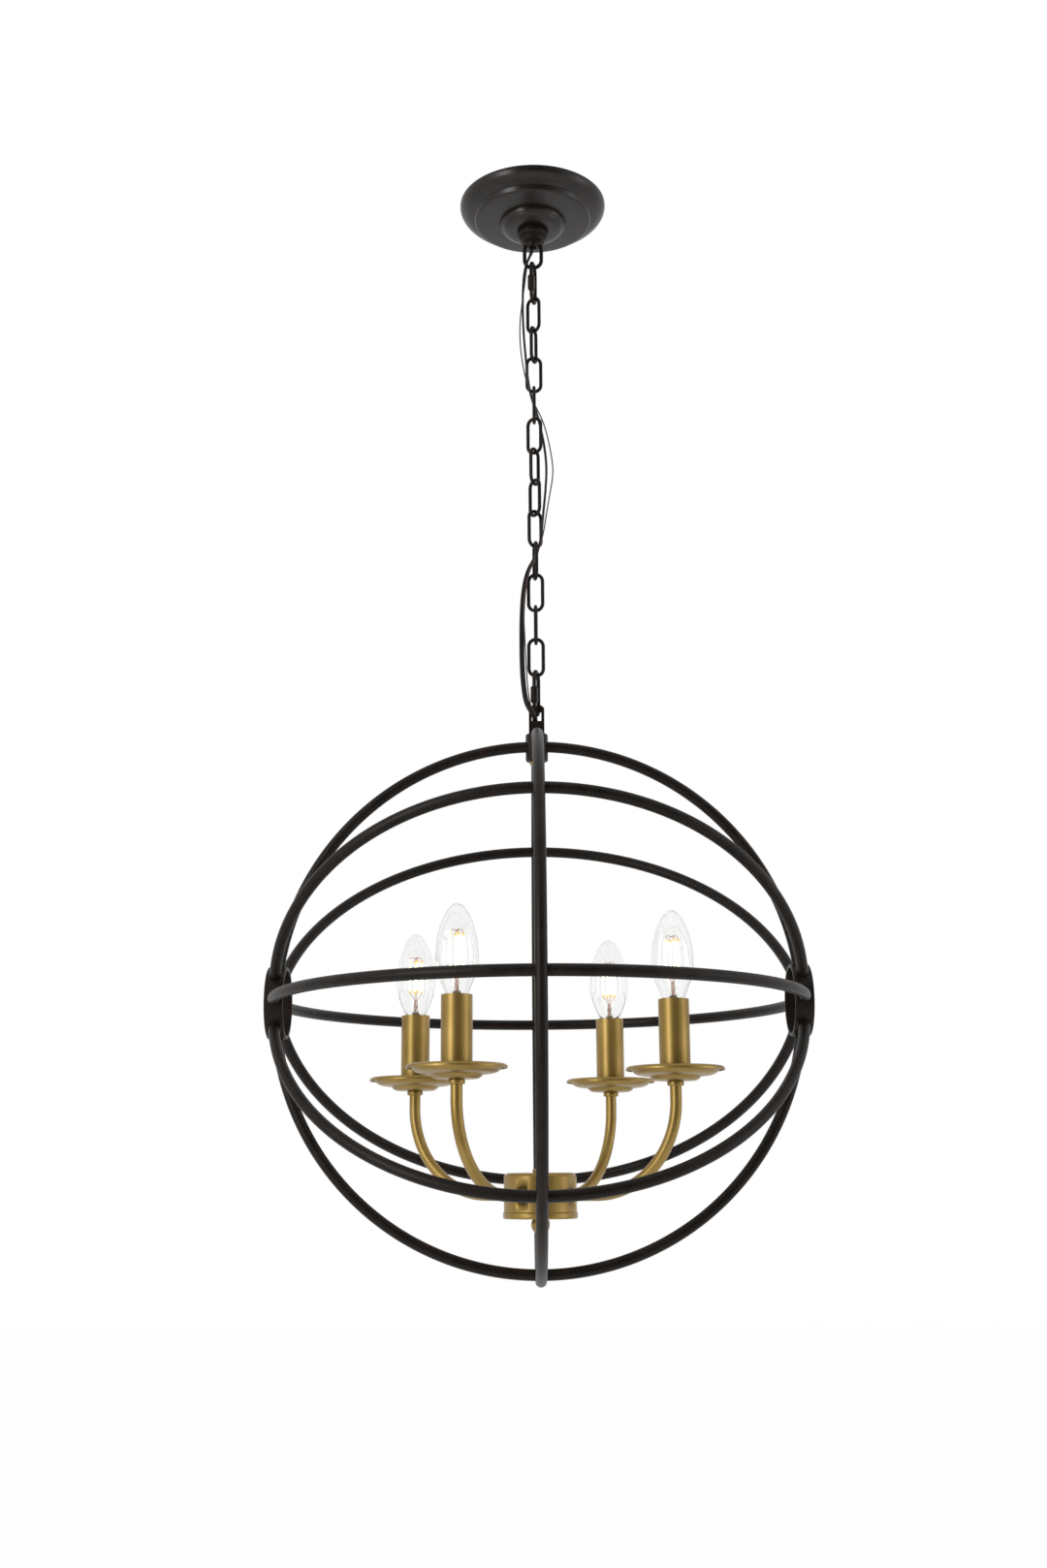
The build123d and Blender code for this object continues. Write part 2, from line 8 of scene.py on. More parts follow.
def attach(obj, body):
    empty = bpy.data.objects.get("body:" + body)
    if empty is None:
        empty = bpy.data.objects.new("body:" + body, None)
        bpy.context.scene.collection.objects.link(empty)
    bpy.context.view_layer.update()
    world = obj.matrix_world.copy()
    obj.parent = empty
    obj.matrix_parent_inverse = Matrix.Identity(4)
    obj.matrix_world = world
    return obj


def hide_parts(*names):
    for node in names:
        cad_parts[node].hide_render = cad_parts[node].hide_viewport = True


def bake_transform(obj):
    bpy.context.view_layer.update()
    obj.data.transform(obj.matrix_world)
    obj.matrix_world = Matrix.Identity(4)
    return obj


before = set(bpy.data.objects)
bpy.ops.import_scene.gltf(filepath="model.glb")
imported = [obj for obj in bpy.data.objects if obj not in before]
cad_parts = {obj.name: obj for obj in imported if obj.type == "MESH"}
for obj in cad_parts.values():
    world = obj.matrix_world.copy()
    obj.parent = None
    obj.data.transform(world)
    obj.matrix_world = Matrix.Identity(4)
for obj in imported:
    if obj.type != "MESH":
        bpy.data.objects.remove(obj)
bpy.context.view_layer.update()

# Ceiling canopy: a shallow cup of spun steel sheet with a rounded shoulder, a ridge and a small
# raised disc, pressed on the ceiling by the screw ring. Sprayed with a dark rubbed-bronze paint,
# smoother here than on the cage.
mm = 0.001


def linear(hex_code):
    """An sRGB hex colour as the linear colour that shaders take."""
    values = [int(hex_code[place:place + 2], 16) / 255 for place in (1, 3, 5)]
    return tuple(v / 12.92 if v <= 0.04045 else ((v + 0.055) / 1.055) ** 2.4 for v in values) + (1.0,)


def add(tree, kind, inputs=None, **settings):
    """A node with its settings, its input values and the links into it."""
    node = tree.nodes.new(kind)
    for name, value in settings.items():
        setattr(node, name, value)
    for name, value in (inputs or {}).items():
        if isinstance(value, bpy.types.NodeSocket):
            tree.links.new(value, node.inputs[name])
        else:
            node.inputs[name].default_value = value
    return node


def new_material(name):
    """An empty node material, and the tree to build it in."""
    material = bpy.data.materials.new(name)
    material.use_nodes = True
    material.node_tree.nodes.clear()
    return material, material.node_tree


def noise(tree, size, detail, stretch=None):
    """Noise on the piece's own coordinates, its grains of a size in metres and drawn out by a stretch."""
    place = add(tree, "ShaderNodeTexCoord").outputs["Object"]
    if stretch:
        place = add(tree, "ShaderNodeMapping", {"Vector": place, "Scale": stretch}).outputs["Vector"]
    return add(tree, "ShaderNodeTexNoise", {
        "Vector": place, "Scale": 1 / size, "Detail": detail,
    }).outputs["Fac"]


def ramp(tree, factor, dark, light, ends=(0.0, 1.0)):
    """A colour between two hex tones, which a factor reaches at its ends."""
    tint = add(tree, "ShaderNodeValToRGB", {"Fac": factor})
    for stop, position, tone in zip(tint.color_ramp.elements, ends, (dark, light)):
        stop.position = position
        stop.color = linear(tone)
    return tint.outputs["Color"]


def spread(tree, factor, low, high):
    """A factor from 0 to 1 as a value from low to high."""
    return add(tree, "ShaderNodeMapRange", {
        "Value": factor, "To Min": low, "To Max": high,
    }).outputs["Result"]


def coat_with(tree, inputs):
    """The surface shader of a material with its inputs, on the material's output."""
    shader = add(tree, "ShaderNodeBsdfPrincipled", inputs)
    add(tree, "ShaderNodeOutputMaterial", {"Surface": shader.outputs["BSDF"]})


def bronze_paint(name, gloss, peel_strength, mirror):
    """Rubbed bronze lacquer on steel: near black, with soft brown clouds 14 mm wide and 1.1 mm specks where
    the brown undercoat shows; gloss is its smoothest roughness, peel its relief, mirror its shine."""
    material, tree = new_material(name)
    clouds, specks = noise(tree, 14 * mm, 4.0), noise(tree, 1.1 * mm, 3.0)
    share = add(tree, "ShaderNodeMapRange", {"Value": specks, "From Min": 0.54, "From Max": 0.78})
    rub = add(tree, "ShaderNodeMath", {0: share.outputs["Result"], 1: clouds}, operation="MULTIPLY")
    brown = add(tree, "ShaderNodeMix", {
        "Factor": rub.outputs[0], "A": ramp(tree, clouds, "#0d0a07", "#1a120c", (0.36, 0.70)),
        "B": linear("#402d22"),
    }, data_type="RGBA")
    peel = add(tree, "ShaderNodeBump", {
        "Height": specks, "Strength": peel_strength, "Distance": 0.25 * mm,
    })
    coat_with(tree, {
        "Base Color": brown.outputs["Result"], "Roughness": spread(tree, specks, gloss, gloss + 0.16),
        "Normal": peel.outputs["Normal"], "Specular IOR Level": mirror,
    })
    return material


bronze = bronze_paint("rubbed_bronze_paint", gloss=0.34, peel_strength=0.22, mirror=0.16)
smooth_bronze = bronze_paint("smooth_bronze_paint", gloss=0.22, peel_strength=0.05, mirror=0.34)


def hermite(start, end, start_way, end_way, steps):
    """Points of a smooth curve between two (radius, height) points, with the ways it leaves and arrives."""
    start, end = Vector(start), Vector(end)
    span = (end - start).length
    leave, arrive = Vector(start_way).normalized() * span, Vector(end_way).normalized() * span
    points = []
    for step in range(steps + 1):
        t = step / steps
        points.append(tuple(
            start * (2 * t**3 - 3 * t**2 + 1) + leave * (t**3 - 2 * t**2 + t)
            + end * (3 * t**2 - 2 * t**3) + arrive * (t**3 - t**2)
        ))
    return points


def finish_mesh(work, name, material, sharp=32):
    """A new piece from a bmesh: doubles merged, faces outward, smooth but for edges over sharp degrees."""
    bmesh.ops.remove_doubles(work, verts=work.verts, dist=0.004 * mm)
    bmesh.ops.recalc_face_normals(work, faces=work.faces)
    for face in work.faces:
        face.smooth = True
    for edge in work.edges:
        edge.smooth = edge.calc_face_angle(0) < math.radians(sharp)
    mesh = bpy.data.meshes.new(name)
    work.to_mesh(mesh)
    work.free()
    mesh.materials.append(material)
    piece = bpy.data.objects.new(name, mesh)
    bpy.context.scene.collection.objects.link(piece)
    return piece


def skin(work, rows, closed):
    """Faces between neighbouring rings of points, and from the last ring to the first if closed."""
    for low, high in list(zip(rows, rows[1:])) + ([(rows[-1], rows[0])] if closed else []):
        for number in range(len(low)):
            after = (number + 1) % len(low)
            work.faces.new((low[number], low[after], high[after], high[number]))


def turned(name, outline, material, placed=Matrix.Identity(4), segments=96, closed=True):
    """A piece turned round the Z axis from an outline of (radius, height) in millimetres, then placed."""
    work = bmesh.new()
    rows = []
    for radius, height in outline:
        row = []
        for number in range(segments):
            angle = 2 * math.pi * number / segments
            row.append(work.verts.new((
                radius * math.cos(angle) * mm, radius * math.sin(angle) * mm, height * mm,
            )))
        rows.append(row)
    skin(work, rows, closed)
    bmesh.ops.transform(work, matrix=placed, verts=work.verts)
    return finish_mesh(work, name, material)


canopy_r, canopy_hole, canopy_seat, canopy_sheet = 68.8, 11.65, -27.4, 1.2
ring_r = 14.6


def canopy_side(inset):
    """Outside of the canopy from its rim to its hole, or its inside when moved in by the sheet."""
    rim, groove = (canopy_r - inset, -2.0), (56.0 - inset, -12.2 + inset)
    ridge, step = (53.5 - inset, -16.6 + inset), (31.3 - inset, -18.0 + inset)
    edge, seat = (28.9 - inset, -22.7 + inset), (ring_r, canopy_seat + inset)
    return (
        [(canopy_r - inset, 0.0)]
        + hermite(rim, groove, (-0.15, -1), (-1, -0.12), 18)
        + hermite(groove, ridge, (-0.5, -1), (-1, -0.25), 12)[1:]
        + hermite(ridge, step, (-1, -0.08), (-1, -0.05), 6)[1:]
        + hermite(step, edge, (-0.05, -1), (-1, -0.1), 12)
        + hermite(edge, seat, (-0.5, -1), (-1, 0), 14)
        + [(canopy_hole, canopy_seat + inset)]
    )


canopy = turned(
    "ceiling_canopy", canopy_side(0) + canopy_side(canopy_sheet)[::-1], smooth_bronze, segments=128,
)
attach(canopy, "ceiling_fixture")
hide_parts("canopy")

# Fixing inside the canopy: a punched strap across the ceiling box, its ground screw, and the
# threaded nipple with two lock nuts that carries the whole light. Bright zinc-plated steel, as the
# nuts on the arms inside the cluster cup are.


def mottled(name, size, detail, tones, shader, gloss=None, stretch=None):
    """A finish in two tones of noise, with other shader values; gloss is its range of roughness, if any."""
    material, tree = new_material(name)
    grain = noise(tree, size, detail, stretch)
    inputs = {"Base Color": ramp(tree, grain, *tones), **shader}
    if gloss:
        inputs["Roughness"] = spread(tree, grain, *gloss)
    coat_with(tree, inputs)
    return material


zinc = mottled("zinc_plated_steel", 2.5 * mm, 2.0, ("#a9a9a3", "#cfcfc8"), {"Metallic": 1.0}, (0.28, 0.45))


def paint_node(node, material):
    """A CAD node keeps its shape and takes a finish."""
    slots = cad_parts[node].data.materials
    slots.clear()
    slots.append(material)


for node in ("mounting_strap", "ground_screw", "hanger_nipple", "nipple_nuts", "arm_nuts"):
    paint_node(node, zinc)

# Screw ring and loop: the ring runs on the loop's thread and holds the canopy up. The loop is a
# turned body with a neck and a bent wire eye below it, both painted as the chain is.


def rounded(points, radius, steps=5):
    """A closed outline of (radius, height) points with its corners rounded off."""
    outline = []
    count = len(points)
    for number in range(count):
        corner = Vector(points[number])
        back, ahead = Vector(points[number - 1]) - corner, Vector(points[(number + 1) % count]) - corner
        reach = min(radius, 0.45 * back.length, 0.45 * ahead.length)
        first, last = corner + back.normalized() * reach, corner + ahead.normalized() * reach
        for step in range(steps + 1):
            t = step / steps
            outline.append(tuple(first * (1 - t) ** 2 + corner * 2 * t * (1 - t) + last * t**2))
    return outline


ring_bottom = -33.4
ring_outline = rounded([
    (canopy_hole, canopy_seat), (ring_r, canopy_seat), (ring_r, -31.8), (13.0, ring_bottom),
    (canopy_hole, ring_bottom),
], 0.5)
screw_ring = turned("canopy_screw_ring", ring_outline, bronze)
loop_r, loop_top, loop_bottom = 11.5, -20.4, -43.2
nipple_bore, wire_bore, bore_step = 5.0, 3.2, -29.4
thread_top, thread_bottom, thread_pitch, thread_depth = -21.0, -36.6, 1.1, 0.45
thread = []
height = thread_top
while height > thread_bottom:
    thread += [(loop_r, height), (loop_r - thread_depth, height - thread_pitch / 2)]
    height -= thread_pitch
neck = [
    (loop_r, -36.9), (11.1, -37.8), (10.0, -38.4), (7.4, -38.5), (6.6, -39.0), (6.5, -41.7), (6.0, -42.8),
    (5.0, loop_bottom),
]
loop_body = turned(
    "canopy_loop_body",
    [(nipple_bore, bore_step), (nipple_bore, loop_top), (11.2, loop_top)] + thread + neck
    + [(wire_bore, loop_bottom), (wire_bore, bore_step)],
    bronze,
)


def tube(name, points, radius, material, sides=20, flat=None):
    """A round bar or wire along points in metres, or a flat two-core cord, widest the way flat gives."""
    web, core = 0.38, 0.16
    work = bmesh.new()
    rows = []
    last_side = None
    for number, point in enumerate(points):
        before = points[number - 1] if number else point
        after = points[number + 1] if number < len(points) - 1 else point
        way = (Vector(after) - Vector(before)).normalized()
        if last_side is None:
            last_side = way.orthogonal()
        last_side = flat(point) if flat else last_side
        last_side = (last_side - way * last_side.dot(way)).normalized()
        across = way.cross(last_side)
        row = []
        for side in range(sides):
            turn = 2 * math.pi * side / sides
            thick = web + core * min(1, 2 * abs(math.cos(turn))) if flat else 1
            row.append(work.verts.new(
                Vector(point) + (last_side * math.cos(turn) + across * math.sin(turn) * thick) * radius
            ))
        rows.append(row)
    skin(work, rows, closed=False)
    work.faces.new(rows[0])
    work.faces.new(rows[-1])
    return finish_mesh(work, name, material, sharp=50)


eye_wire, eye_side, eye_top, eye_bottom = 3.6, 7.85, -37.5, -64.5
eye_step, eye_steps, bow_steps = 2.25, 56, 40
eye = []
for step in range(-eye_steps, eye_steps + 1):
    angle = math.radians(eye_step * step)
    middle = eye_bottom + eye_side
    if abs(step) > bow_steps:
        middle += eye_top - eye_bottom - 2 * eye_side
    eye.append((eye_side * math.sin(angle) * mm, 0.0, (middle - eye_side * math.cos(angle)) * mm))
loop_eye = tube("canopy_loop_eye", eye, eye_wire / 2 * mm, bronze)
for piece in (screw_ring, loop_body, loop_eye):
    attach(piece, "ceiling_fixture")
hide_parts("screw_ring")
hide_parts("canopy_loop")

# Chain: an oval screw connector at each end and twelve plain links between them. Each is bent
# from round wire and butt welded, then painted with the rest.
link_wire, link_width, link_pitch, link_span = 3.2, 16.0, 30.55, 34.05
first_link_top = -96.5
link_turns = (-35, 70, 0, 90, -25, 58, -49, 33, 100, -10, 88, 0)
bow_points, oval_points, wire_sides = 14, 88, 18
nearly_half = 0.4999  # of the width, so that the two bends of a bow don't quite meet


def geometry_tree(name, inputs):
    """An empty Geometry Nodes tree with named inputs, and its group input and output nodes."""
    group = bpy.data.node_groups.new(name, "GeometryNodeTree")
    group.interface.new_socket("Geometry", in_out="INPUT", socket_type="NodeSocketGeometry")
    for label, kind in inputs:
        group.interface.new_socket(label, in_out="INPUT", socket_type=f"NodeSocket{kind}")
    group.interface.new_socket("Geometry", in_out="OUTPUT", socket_type="NodeSocketGeometry")
    return group, add(group, "NodeGroupInput").outputs, add(group, "NodeGroupOutput")


def close_tree(group, entry, out, geometry, smooth=True):
    """The last nodes of a tree: real geometry, smooth if asked, in the material that the tree is given."""
    real = add(group, "GeometryNodeRealizeInstances", {"Geometry": geometry}).outputs["Geometry"]
    if smooth:
        real = add(group, "GeometryNodeSetShadeSmooth", {"Geometry": real}).outputs["Geometry"]
    coat = add(group, "GeometryNodeSetMaterial", {"Geometry": real, "Material": entry["Material"]})
    group.links.new(coat.outputs["Geometry"], out.inputs["Geometry"])


def grown(name, group, values, carrier=None):
    """A plain-mesh piece from a Geometry Nodes tree, run on a carrier mesh with the given inputs."""
    piece = bpy.data.objects.new(name, carrier or bpy.data.meshes.new(name))
    bpy.context.scene.collection.objects.link(piece)
    modifier = piece.modifiers.new(name, "NODES")
    modifier.node_group = group
    for socket in group.interface.items_tree:
        if socket.in_out == "INPUT" and socket.name in values:
            modifier[socket.identifier] = values[socket.name]
    bpy.context.view_layer.update()
    made = piece.evaluated_get(bpy.context.evaluated_depsgraph_get())
    mesh = bpy.data.meshes.new_from_object(made)
    piece.modifiers.clear()
    piece.data = mesh
    mesh.name = name
    return piece


links, entry, out = geometry_tree("oval_links_on_points", [
    ("Wire", "Float"), ("Width", "Float"), ("Span", "Float"), ("Material", "Material"),
])
side_width = add(links, "ShaderNodeMath", {0: entry["Width"], 1: entry["Wire"]}, operation="SUBTRACT")
half_width = add(links, "ShaderNodeMath", {0: side_width.outputs[0], 1: nearly_half}, operation="MULTIPLY")
half_wire = add(links, "ShaderNodeMath", {0: entry["Wire"], 1: 0.5}, operation="MULTIPLY")
frame_line = add(links, "GeometryNodeCurvePrimitiveQuadrilateral", {
    "Width": side_width.outputs[0], "Height": entry["Span"],
})
oval = add(links, "GeometryNodeFilletCurve", {
    "Curve": frame_line.outputs["Curve"], "Radius": half_width.outputs[0], "Count": bow_points,
}, mode="POLY")
fine = add(links, "GeometryNodeResampleCurve", {"Curve": oval.outputs["Curve"], "Count": oval_points})
upright = add(links, "GeometryNodeTransform", {
    "Geometry": fine.outputs["Curve"], "Rotation": (math.pi / 2, 0, 0),
})
wire_round = add(links, "GeometryNodeCurvePrimitiveCircle", {
    "Resolution": wire_sides, "Radius": half_wire.outputs[0],
})
bar = add(links, "GeometryNodeCurveToMesh", {
    "Curve": upright.outputs["Geometry"], "Profile Curve": wire_round.outputs["Curve"],
})
turn = add(links, "GeometryNodeInputNamedAttribute", {"Name": "turn"}, data_type="FLOAT")
turn_way = add(links, "ShaderNodeCombineXYZ", {"Z": turn.outputs["Attribute"]})
hung = add(links, "GeometryNodeInstanceOnPoints", {
    "Points": entry["Geometry"], "Instance": bar.outputs["Mesh"], "Rotation": turn_way.outputs["Vector"],
})
close_tree(links, entry, out, hung.outputs["Instances"])


def link_points(name, places):
    """A mesh of bare points, each with the turn of the link that hangs there."""
    mesh = bpy.data.meshes.new(name)
    mesh.from_pydata([(0, 0, height * mm) for height, angle in places], [], [])
    turns = mesh.attributes.new("turn", "FLOAT", "POINT")
    for number, (height, angle) in enumerate(places):
        turns.data[number].value = math.radians(angle)
    return mesh


places = [
    (first_link_top - number * link_pitch - link_span / 2, angle) for number, angle in enumerate(link_turns)
]
chain = grown("oval_chain_links", links, {
    "Wire": link_wire * mm, "Width": link_width * mm, "Span": link_span * mm, "Material": bronze,
}, link_points("chain_points", places))
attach(chain, "chain_run")
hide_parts("chain_links")

connector_wire, connector_width, connector_span, connector_turn = 3.5, 18.0, 39.5, 75
nut_length, nut_flats, nut_bevel = 15.0, 6.1, 0.9
nut_hole, nut_end, nut_side = connector_wire / 2 + 0.05, nut_flats / 2 - nut_bevel / 2, nut_flats / 2 + 0.35
sleeve_nut_outline = [
    (nut_hole, -nut_length / 2), (nut_end, -nut_length / 2), (nut_side, -nut_length / 2 + nut_bevel),
    (nut_side, nut_length / 2 - nut_bevel), (nut_end, nut_length / 2), (nut_hole, nut_length / 2),
]
for place, body, top in (("top", "connector_top", -60.65), ("bottom", "connector_bottom", -462.95)):
    middle = top - connector_span / 2
    connector = grown(f"screw_connector_{place}", links, {
        "Wire": connector_wire * mm, "Width": connector_width * mm, "Span": connector_span * mm,
        "Material": bronze,
    }, link_points(f"connector_point_{place}", [(middle, connector_turn)]))
    reach = (connector_width - connector_wire) / 2
    nut_middle = middle - (connector_span - connector_width - nut_length) / 2
    turn_about = Matrix.Rotation(math.radians(connector_turn), 4, "Z")
    put = turn_about @ Matrix.Translation((-reach * mm, 0, nut_middle * mm))
    sleeve_nut = turned(f"connector_sleeve_nut_{place}", sleeve_nut_outline, bronze, put, segments=6)
    for piece, node in ((connector, f"connector_link_{place}"), (sleeve_nut, f"connector_nut_{place}")):
        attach(piece, body)
        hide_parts(node)

# Supply cord: a flat two-core lamp cord in black PVC that comes out of the loop's neck, is woven
# loosely beside the links and goes in at the yoke. Satin extruded jacket with faint lengthwise drag.
pvc = mottled(
    "black_pvc_jacket", 0.9 * mm, 2.0, ("#0c0b0b", "#171514"), {"Specular IOR Level": 0.3}, (0.36, 0.5),
    stretch=(1.0, 1.0, 0.12),
)
cord_route = (
    (0.9, -0.2, -39), (0.7, -1.0, -46), (-2.6, -4.3, -54), (-6.2, -5.9, -63.5), (-8.8, -5.2, -75),
    (-9.8, -4.2, -92), (-10.0, -3.6, -113), (-9.3, -3.9, -135), (-7.6, -4.7, -158), (-5.9, -5.0, -180),
    (-3.2, -2.9, -196.5), (1.3, 0.6, -209), (5.4, 2.9, -224), (9.2, 1.9, -245), (11.2, 0.3, -267),
    (9.8, -0.4, -291), (7.4, -0.9, -314), (5.4, -2.7, -337), (2.1, -1.5, -350), (-2.4, -0.1, -359),
    (-6.6, -2.0, -368), (-9.8, -3.0, -381), (-11.8, -2.4, -399), (-12.6, -1.7, -421), (-12.7, -1.6, -444),
    (-12.2, -2.6, -467), (-10.6, -5.2, -484), (-8.8, -7.4, -494), (-5.6, -8.6, -500.5), (-2.6, -7.4, -504.0),
    (-1.5, -4.0, -506.2), (-1.3, -0.9, -508.9), (-1.2, -0.3, -512.6),
)


def cord_line(route):
    """Points in metres along the NURBS spline that has a route in millimetres as its control points."""
    curve = bpy.data.curves.new("cord_line", "CURVE")
    curve.dimensions, curve.resolution_u = "3D", 8
    spline = curve.splines.new("NURBS")
    spline.points.add(len(route) - 1)
    for control, point in zip(spline.points, route):
        control.co = (point[0] * mm, point[1] * mm, point[2] * mm, 1.0)
    spline.order_u, spline.use_endpoint_u = 3, True
    holder = bpy.data.objects.new("cord_line", curve)
    line = bpy.data.meshes.new_from_object(holder)
    points = [vertex.co.copy() for vertex in line.vertices]
    bpy.data.objects.remove(holder)
    bpy.data.curves.remove(curve)
    bpy.data.meshes.remove(line)
    return points


cord_spans = (
    ("at_loop", -85, "ceiling_fixture", "connector_top"),
    ("at_top_connector", -130, "connector_top", "chain_run"),
    ("beside_links", -430, "chain_run", None),
    ("at_low_connector", -478, "chain_run", "connector_bottom"),
    ("at_yoke", -513, "connector_bottom", "cage"),
)


def laid_cord(name, route, diameter, material, node, flat=None):
    """A cord in five spans: the one that rides the links goes on the chain, and each of the others is left
    on no body with its transform baked in.
    """
    points = cord_line(route)
    first = 0
    for place, low, body, next_body in cord_spans:
        last = max(number for number, point in enumerate(points) if point.z >= low * mm)
        line = points[first:last + 1]
        first = last
        piece = tube(f"{name}_{place}", line, diameter / 2 * mm, material, sides=24, flat=flat)
        if next_body:
            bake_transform(piece)
        else:
            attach(piece, body)
            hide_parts(node)


cord_width, cord_turns_from, cord_turns_over = 4.6, 345, 50


def cord_flat(point):
    """The way the flat cord is widest: edge-on to the front beside the upper links, flat on below them."""
    share = min(1, max(0, (-point.z / mm - cord_turns_from) / cord_turns_over))
    angle = math.pi / 2 * (1 - share)
    return Vector((math.cos(angle), math.sin(angle), 0))


laid_cord("supply_cord_jacket", cord_route, cord_width, pvc, "supply_cord", cord_flat)

# Ground wire: bare copper strands in a thin clear jacket, brown to the eye, run loosely next to
# the cord from the neck to the yoke.
copper, tree = new_material("copper_strands_in_clear_jacket")
strand_lay = add(tree, "ShaderNodeTexWave", {
    "Vector": add(tree, "ShaderNodeTexCoord").outputs["Object"], "Scale": 1 / (3.2 * mm), "Distortion": 1.5,
}, bands_direction="DIAGONAL")
coat_with(tree, {
    "Base Color": ramp(tree, strand_lay.outputs["Fac"], "#22140d", "#4a2b1e"), "Metallic": 0.4,
    "Roughness": 0.32, "Coat Weight": 0.3, "Coat Roughness": 0.08,
})
ground_width = 1.2
ground_route = (
    (-1.75, 0.0, -39), (-2.1, 0.1, -46), (-3.8, -1.5, -54), (-5.4, -3.0, -63), (-6.9, -2.3, -73),
    (-8.4, -0.6, -86), (-11.0, 0.2, -104), (-13.0, 0.6, -124), (-12.5, 1.2, -146), (-9.9, 2.6, -166),
    (-6.4, 3.6, -182), (-2.4, 3.4, -196), (2.6, 3.8, -207), (8.2, 4.2, -219), (12.6, 3.0, -237),
    (16.0, 1.4, -257), (17.2, 0.8, -273), (13.8, 0.0, -293), (10.2, -1.8, -315), (7.4, -4.8, -334),
    (3.9, -4.7, -346.4), (-0.6, -2.9, -357), (-4.4, -4.9, -367), (-7.8, -6.2, -379), (-10.0, -5.8, -393),
    (-10.8, -4.8, -413), (-9.8, -3.8, -435), (-9.0, -3.8, -456), (-8.2, -5.4, -472), (-7.0, -7.6, -486),
    (-5.6, -10.0, -495.6), (-2.6, -10.2, -501.8), (-0.7, -6.0, -505.6), (0.0, -2.4, -508.6),
    (0.6, -1.9, -512.6),
)
laid_cord("ground_wire_jacket", ground_route, ground_width, copper, "ground_wire")

# Yoke and collar at the top of the cage: a small machined block that hangs on the lowest connector,
# welded on a turned collar that the hoops run into. Painted with the cage.
paint_node("yoke", bronze)
collar_r, collar_top, collar_bottom, collar_seat = 9.8, -521.0, -545.0, -533.0
collar = turned(
    "hoop_collar",
    rounded([(3.5, collar_top), (collar_r, collar_top), (collar_r, collar_bottom), (5.0, collar_bottom),
             (5.0, collar_seat), (3.5, collar_seat)], 1.2),
    bronze,
)
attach(collar, "cage")
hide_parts("top_collar")

# Hubs: two short open tubes at the left and right, parted off with softened edges. All the hoops
# but the cross hoop are welded to them.
orb_z = -755.85
hub_middle, hub_bore, hub_r, hub_half = 221.76, 27.5, 30.5, 8.0
hub_outline = rounded([
    (hub_bore, -hub_half), (hub_r, -hub_half), (hub_r, hub_half), (hub_bore, hub_half),
], 1.0)
for side, sign in (("left", -1), ("right", 1)):
    put = Matrix.Translation((sign * hub_middle * mm, 0, orb_z * mm)) @ Matrix.Rotation(math.pi / 2, 4, "Y")
    hub = turned(f"side_hub_{side}", hub_outline, bronze, put, segments=128)
    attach(hub, "cage")
    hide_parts(f"hub_{side}")

# Hoops: 9.5 mm round rod rolled to a true circle, cut into halves, coped and welded from hub to
# hub. The cross hoop is one longer hoop laid over the others, with its ends at the collar.
hoop_r, cross_r, rod_dia = 223.85, 228.55, 9.5
rod_sides, steps_per_radian = 28, 60
hoops, entry, out = geometry_tree("rolled_rod_hoop", [
    ("Radius", "Float"), ("Rod", "Float"), ("Start", "Float"), ("Sweep", "Float"), ("Lean", "Vector"),
    ("Centre", "Vector"), ("Steps", "Int"), ("Material", "Material"),
])
arc = add(hoops, "GeometryNodeCurveArc", {
    "Resolution": entry["Steps"], "Radius": entry["Radius"], "Start Angle": entry["Start"],
    "Sweep Angle": entry["Sweep"],
}, mode="RADIUS")
leaned = add(hoops, "GeometryNodeTransform", {
    "Geometry": arc.outputs["Curve"], "Rotation": entry["Lean"], "Translation": entry["Centre"],
})
half_rod = add(hoops, "ShaderNodeMath", {0: entry["Rod"], 1: 0.5}, operation="MULTIPLY")
rod_round = add(hoops, "GeometryNodeCurvePrimitiveCircle", {
    "Resolution": rod_sides, "Radius": half_rod.outputs[0],
})
rod = add(hoops, "GeometryNodeCurveToMesh", {
    "Curve": leaned.outputs["Geometry"], "Profile Curve": rod_round.outputs["Curve"], "Fill Caps": True,
})
close_tree(hoops, entry, out, rod.outputs["Mesh"])

hub_weld_r, collar_weld_r = 29.0, 9.0
hub_bite, collar_bite = math.asin(hub_weld_r / hoop_r), math.asin(collar_weld_r / hoop_r)
quarter = math.pi / 2 - hub_bite - collar_bite
half = math.pi - 2 * hub_bite
back_lean, front_lean = 44.5, 48.5
hoop_plan = (
    ("upright_hoop_right", "upright_hoop_top", hoop_r, hub_bite, quarter, 90),
    ("upright_hoop_left", None, hoop_r, math.pi / 2 + collar_bite, quarter, 90),
    ("upright_hoop_below", "upright_hoop_bottom", hoop_r, hub_bite, half, -90),
    ("back_lean_hoop_above", "back_lean_hoop_top", hoop_r, hub_bite, half, 90 - back_lean),
    ("back_lean_hoop_below", "back_lean_hoop_bottom", hoop_r, hub_bite, half, -90 - back_lean),
    ("front_lean_hoop_above", "front_lean_hoop_top", hoop_r, hub_bite, half, 90 + front_lean),
    ("front_lean_hoop_below", "front_lean_hoop_bottom", hoop_r, hub_bite, half, -90 + front_lean),
    ("equator_hoop_behind", "equator_hoop_back", hoop_r, hub_bite, half, 0),
    ("equator_hoop_before", "equator_hoop_front", hoop_r, hub_bite, half, 180),
    ("cross_hoop_round", "cross_hoop", cross_r, collar_bite, 2 * math.pi - 2 * collar_bite, None),
)
